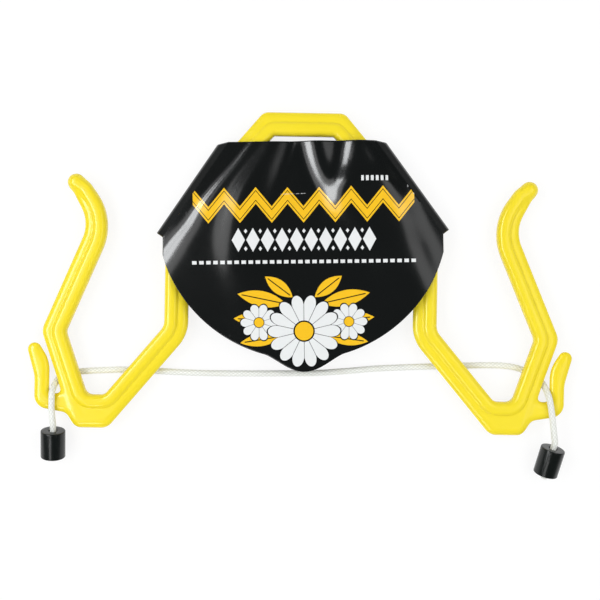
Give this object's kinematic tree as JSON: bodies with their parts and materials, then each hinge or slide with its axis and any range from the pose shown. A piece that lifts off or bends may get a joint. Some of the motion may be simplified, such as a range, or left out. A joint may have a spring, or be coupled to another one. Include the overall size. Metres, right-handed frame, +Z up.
{
  "type": "sheep restrainer",
  "caption": "Moulded yellow yoke with a neck arch and leg slots, jammed across by a white cord with black stoppers, in a black card sleeve.",
  "frame": {"origin": "on the ground, under the middle of the yoke, which lies on its back", "axes": "+X across the yoke to the picture's right, +Y to the neck arch, +Z up from the ground to the card's printed face"},
  "size_m": [0.515, 0.3431, 0.0287],
  "materials": {
    "yellow_plastic": "moulded, glossy",
    "black_card": "printed and glossy laminated",
    "white_cord": "braided",
    "black_plastic": "satin"
  },
  "bodies": {
    "yoke": {"yoke_frame": "yellow_plastic", "cord_run": "white_cord", "cord_bend_left": "white_cord", "cord_bend_right": "white_cord"},
    "card": {"header_card": "black_card"},
    "left_tail": {"cord_tail_left": "white_cord", "cord_knot_left": "white_cord"},
    "left_stopper": {"stopper_left": "black_plastic"},
    "right_tail": {"cord_tail_right": "white_cord", "cord_knot_right": "white_cord"},
    "right_stopper": {"stopper_right": "black_plastic"}
  },
  "joints": [
    {"name": "card_slide", "type": "slide", "parent": "yoke", "child": "card", "axis": [0, 1, 0], "range_m": [0, 0.25]},
    {"name": "left_tail_swing", "type": "hinge", "parent": "yoke", "child": "left_tail", "pos_m": [-0.2325, -0.13335, 0.02112], "axis": [-1, 0, 0], "range_deg": [0, 90]},
    {"name": "left_stopper_slide", "type": "slide", "parent": "left_tail", "child": "left_stopper", "axis": [0.0389, 0.9682, 0.247], "range_m": [0, 0.005]},
    {"name": "right_tail_swing", "type": "hinge", "parent": "yoke", "child": "right_tail", "pos_m": [0.238, -0.13035, 0.02112], "axis": [-1, 0, 0], "range_deg": [0, 90]},
    {"name": "right_stopper_slide", "type": "slide", "parent": "right_tail", "child": "right_stopper", "axis": [0.2114, 0.9457, 0.247], "range_m": [0, 0.005]}
  ]
}
